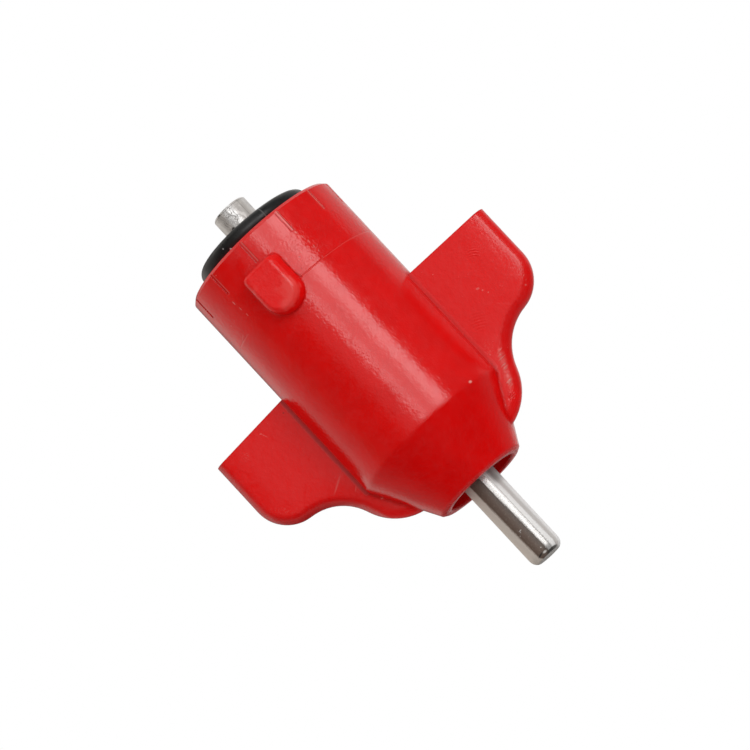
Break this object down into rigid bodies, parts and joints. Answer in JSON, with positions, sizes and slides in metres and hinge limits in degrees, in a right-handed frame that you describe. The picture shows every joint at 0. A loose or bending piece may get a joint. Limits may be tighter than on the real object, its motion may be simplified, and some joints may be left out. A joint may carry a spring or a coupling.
{
  "type": "poultry drinker valve",
  "caption": "Winged twist-lock nipple drinker valve with a conical nose, a tilting steel trigger pin and a closing pin above a rubber sealing ring.",
  "frame": {"origin": "on the valve's axis in the plane of the collar's rim, where the bayonet collar enters the pipe saddle", "axes": "+Z along the valve's axis and up in use, towards the closing pin; the wings lie along X and the bayonet lugs along Y"},
  "size_m": [0.0376, 0.022, 0.0477],
  "materials": {
    "red_plastic": "satin gloss, moulded",
    "black_rubber": "smooth",
    "steel": "turned",
    "scuffed_steel": "bright, scuffed",
    "polished_steel": "polished"
  },
  "bodies": {
    "shell": {"housing": "red_plastic", "saddle_o_ring": "black_rubber", "valve_sleeve": "steel", "upper_seat": "steel", "lower_seat": "steel", "lower_seal": "black_rubber"},
    "trigger": {"trigger_pin": "polished_steel"},
    "closer": {"closing_pin": "scuffed_steel"}
  },
  "joints": [
    {"name": "trigger_tilt", "type": "hinge", "parent": "shell", "child": "trigger", "pos_m": [0.0034, 0, -0.0204], "axis": [0, 1, 0], "range_deg": [0, 9]},
    {"name": "closing_pin_lift", "type": "slide", "parent": "shell", "child": "closer", "axis": [0, 0, 1], "range_m": [0, 0.0005654]}
  ],
  "couplings": [
    {"joint": "trigger_tilt", "follows": "closing_pin_lift", "rad_per_m": 277.8}
  ]
}
